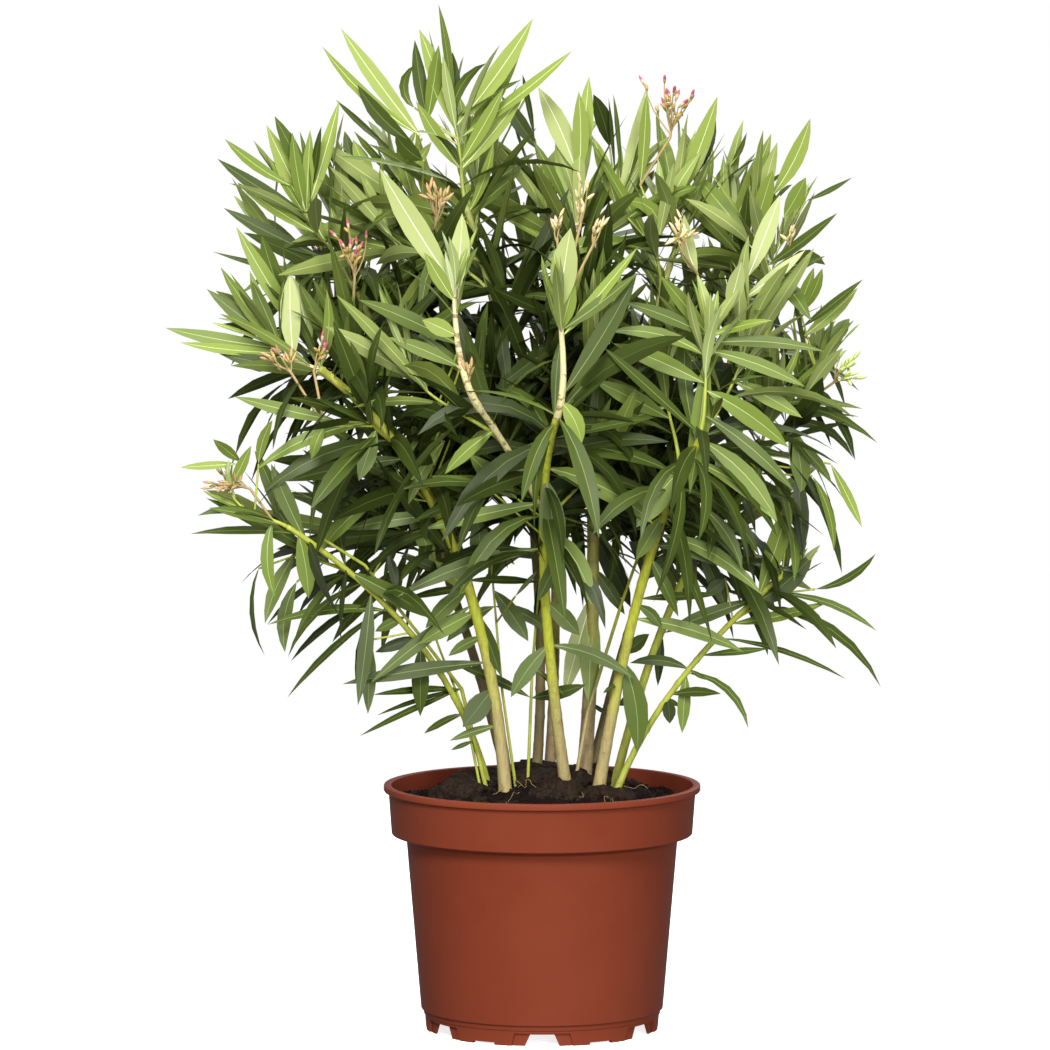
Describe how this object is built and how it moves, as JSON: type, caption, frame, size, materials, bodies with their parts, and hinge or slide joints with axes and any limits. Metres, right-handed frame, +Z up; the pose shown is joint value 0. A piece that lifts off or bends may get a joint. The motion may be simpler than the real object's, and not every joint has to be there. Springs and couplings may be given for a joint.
{
  "type": "potted oleander",
  "caption": "Oleander shrub in a round nursery pot: canes fan out of dark soil into whorled leafy shoots, some with flower buds.",
  "frame": {"origin": "on the floor under the middle of the whole plant's bounding box; the pot's axis stands 13 mm to +X and 2.5 mm to -Y of it", "axes": "+Z up; -Y towards the viewer's side, where a foot notch faces front; +X to the viewer's right"},
  "size_m": [0.586, 0.499, 0.842],
  "materials": {
    "pot_plastic": "satin",
    "potting_soil": "matte",
    "bark": "matte",
    "green_wood": "satin",
    "leaf": "satin"
  },
  "bodies": {
    "root": {"bough_back_top": "green_wood", "bough_front_left": "green_wood", "bough_top_right": "green_wood", "bough_upper_right": "green_wood", "leaves_back": "leaf", "leaves_back_left": "leaf", "leaves_back_low_left": "leaf", "leaves_back_low_right": "leaf", "leaves_back_right": "leaf", "leaves_back_top": "leaf", "leaves_far_right": "leaf", "leaves_front_centre": "leaf", "leaves_front_left": "leaf", "leaves_front_right": "leaf", "leaves_inner": "leaf", "leaves_left": "leaf", "leaves_low_front": "leaf", "leaves_low_left": "leaf", "leaves_low_middle_left": "leaf", "leaves_low_right": "leaf", "leaves_right": "leaf", "leaves_top_centre": "leaf", "leaves_top_left": "leaf", "leaves_top_right": "leaf", "leaves_upper_left": "leaf", "leaves_upper_right": "leaf", "pot": "pot_plastic", "soil": "potting_soil", "stem_back": "bark", "stem_back_left": "bark", "stem_centre": "bark", "stem_far_right": "bark", "stem_front_left": "bark", "stem_front_right": "bark", "stem_low_left": "bark", "stem_middle": "bark", "stem_rear_left": "bark", "stem_rear_right": "bark", "stem_right": "bark", "stem_thick": "bark"}
  },
  "joints": []
}
